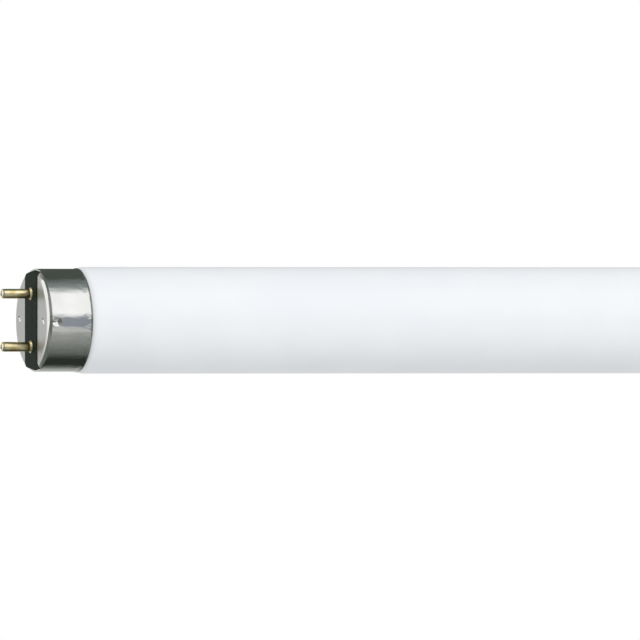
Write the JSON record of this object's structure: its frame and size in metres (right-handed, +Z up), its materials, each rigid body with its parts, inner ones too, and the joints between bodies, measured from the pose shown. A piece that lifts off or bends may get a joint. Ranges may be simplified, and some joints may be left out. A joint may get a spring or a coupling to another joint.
{
  "type": "fluorescent tube",
  "caption": "Straight fluorescent lamp tube of phosphor-coated glass with a drawn metal cap, black insulating bar and brass contact pins at each end.",
  "frame": {"origin": "middle of the tube's length, on its axis", "axes": "+X runs along the tube to the right-hand cap, +Y points away from the picture's camera side, +Z points up through the upper pins"},
  "size_m": [0.6046, 0.0256, 0.0256],
  "materials": {
    "phosphor_glass": "clear glass over a matt white phosphor coat",
    "drawn_aluminium": "bright drawn sheet with fine draw lines, satin on the end face",
    "black_moulding": "satin black moulded plastic",
    "capping_cement": "dull baked cement",
    "pin_brass": "drawn brass, lightly tarnished",
    "lead_wire": "plated wire with a dull weld bead"
  },
  "bodies": {
    "root": {"glass_bulb": "phosphor_glass", "cap_shell_left": "drawn_aluminium", "insulator_left": "black_moulding", "cement_left": "capping_cement", "pin_left_top": "pin_brass", "lead_wire_left_top": "lead_wire", "pin_left_bottom": "pin_brass", "lead_wire_left_bottom": "lead_wire", "cap_shell_right": "drawn_aluminium", "insulator_right": "black_moulding", "cement_right": "capping_cement", "pin_right_top": "pin_brass", "lead_wire_right_top": "lead_wire", "pin_right_bottom": "pin_brass", "lead_wire_right_bottom": "lead_wire"}
  },
  "joints": []
}
